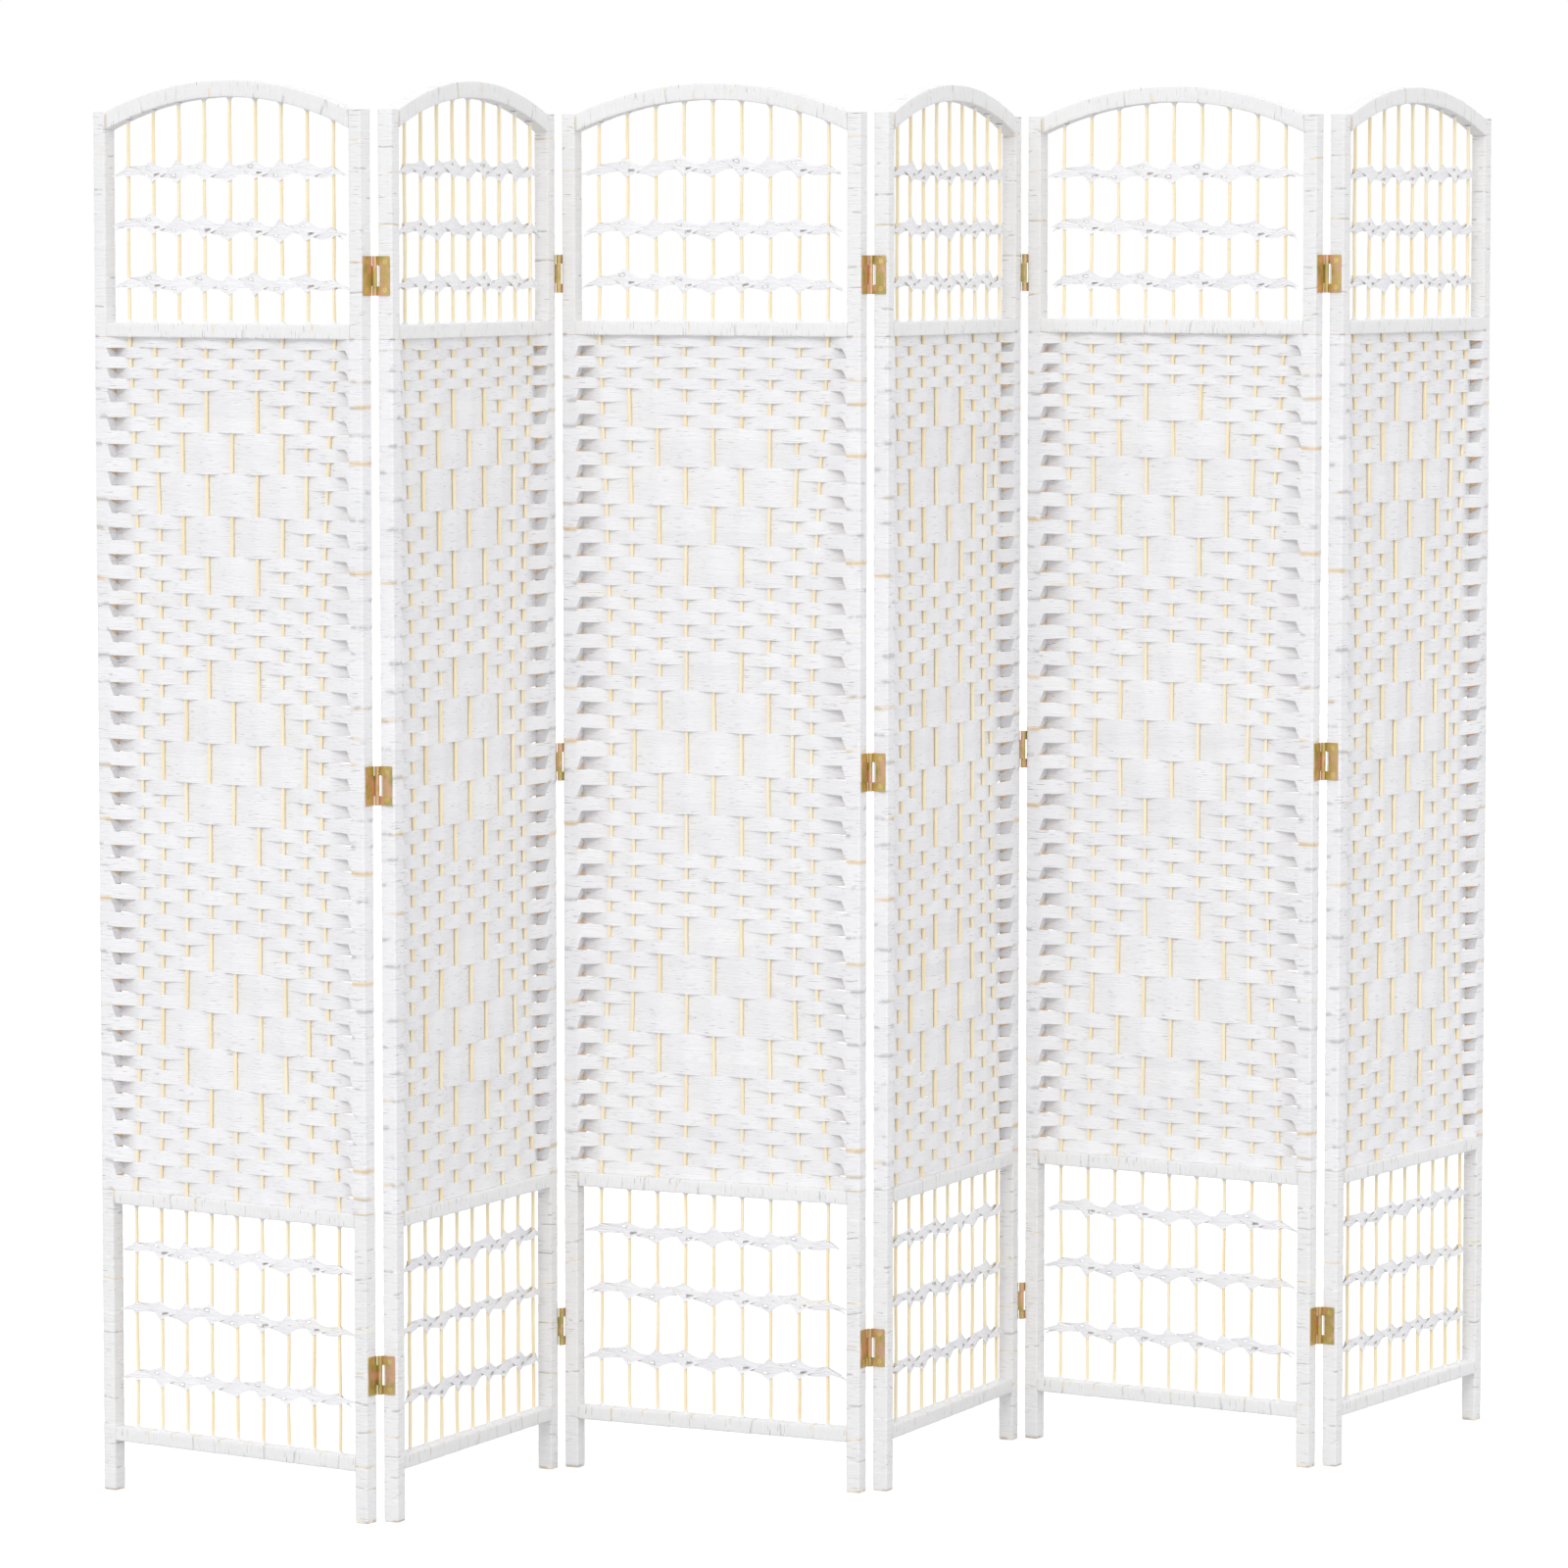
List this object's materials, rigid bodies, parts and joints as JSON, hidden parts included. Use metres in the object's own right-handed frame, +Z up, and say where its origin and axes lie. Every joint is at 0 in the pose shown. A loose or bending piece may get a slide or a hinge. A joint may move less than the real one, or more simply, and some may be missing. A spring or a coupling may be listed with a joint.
{
  "type": "woven paper folding screen",
  "caption": "Bow-topped folding screen with woven paper strips over thin wooden sticks, open twined sections at top and foot, and panels hinged in a zigzag.",
  "frame": {"origin": "on the floor, under the centre of the screen's bounding box", "axes": "+Z up, +X to the right along the line of the zigzag, -Y towards the front face"},
  "size_m": [1.785, 0.3488, 1.6958],
  "materials": {
    "frame_wood": "bare sawn softwood",
    "stick_wood": "bare pale wood",
    "paper_winding": "white paper wound tight and creased",
    "paper_strip": "white flat paper strip, fine lengthwise creases",
    "paper_band": "white twisted paper strip",
    "plated_hinge": "yellow plated steel sheet",
    "plated_screw": "yellow plated steel",
    "steel_pin": "plated wire pin"
  },
  "bodies": {
    "panel_1": {"posts_1": "frame_wood", "arch_1": "frame_wood", "rails_1": "frame_wood", "sticks_1": "stick_wood", "wraps_1": "paper_winding", "weave_1": "paper_strip", "bands_1": "paper_band", "hinge_leaves_1": "plated_hinge", "hinge_screws_1": "plated_screw", "hinge_pins_1_2": "steel_pin"},
    "panel_2": {"posts_2": "frame_wood", "arch_2": "frame_wood", "rails_2": "frame_wood", "sticks_2": "stick_wood", "wraps_2": "paper_winding", "weave_2": "paper_strip", "bands_2": "paper_band", "hinge_leaves_2": "plated_hinge", "hinge_screws_2": "plated_screw", "hinge_pins_2_3": "steel_pin"},
    "panel_3": {"posts_3": "frame_wood", "arch_3": "frame_wood", "rails_3": "frame_wood", "sticks_3": "stick_wood", "wraps_3": "paper_winding", "weave_3": "paper_strip", "bands_3": "paper_band", "hinge_leaves_3": "plated_hinge", "hinge_screws_3": "plated_screw", "hinge_pins_3_4": "steel_pin"},
    "panel_4": {"posts_4": "frame_wood", "arch_4": "frame_wood", "rails_4": "frame_wood", "sticks_4": "stick_wood", "wraps_4": "paper_winding", "weave_4": "paper_strip", "bands_4": "paper_band", "hinge_leaves_4": "plated_hinge", "hinge_screws_4": "plated_screw", "hinge_pins_4_5": "steel_pin"},
    "panel_5": {"posts_5": "frame_wood", "arch_5": "frame_wood", "rails_5": "frame_wood", "sticks_5": "stick_wood", "wraps_5": "paper_winding", "weave_5": "paper_strip", "bands_5": "paper_band", "hinge_leaves_5": "plated_hinge", "hinge_screws_5": "plated_screw", "hinge_pins_5_6": "steel_pin"},
    "panel_6": {"posts_6": "frame_wood", "arch_6": "frame_wood", "rails_6": "frame_wood", "sticks_6": "stick_wood", "wraps_6": "paper_winding", "weave_6": "paper_strip", "bands_6": "paper_band", "hinge_leaves_6": "plated_hinge", "hinge_screws_6": "plated_screw"}
  },
  "joints": [
    {"name": "fold_1_2", "type": "hinge", "parent": "panel_1", "child": "panel_2", "pos_m": [-0.61532, -0.16186, 0.872], "axis": [0, 0, 1], "range_deg": [-98, 81.5]},
    {"name": "fold_2_3", "type": "hinge", "parent": "panel_2", "child": "panel_3", "pos_m": [-0.32374, 0.12461, 0.872], "axis": [0, 0, -1], "range_deg": [-90, 89.5]},
    {"name": "fold_3_4", "type": "hinge", "parent": "panel_3", "child": "panel_4", "pos_m": [-0.0038, -0.12982, 0.872], "axis": [0, 0, 1], "range_deg": [-91, 88.5]},
    {"name": "fold_4_5", "type": "hinge", "parent": "panel_4", "child": "panel_5", "pos_m": [0.28274, 0.1617, 0.872], "axis": [0, 0, -1], "range_deg": [-96.5, 83]},
    {"name": "fold_5_6", "type": "hinge", "parent": "panel_5", "child": "panel_6", "pos_m": [0.57681, -0.12222, 0.872], "axis": [0, 0, 1], "range_deg": [-89.5, 90]}
  ]
}
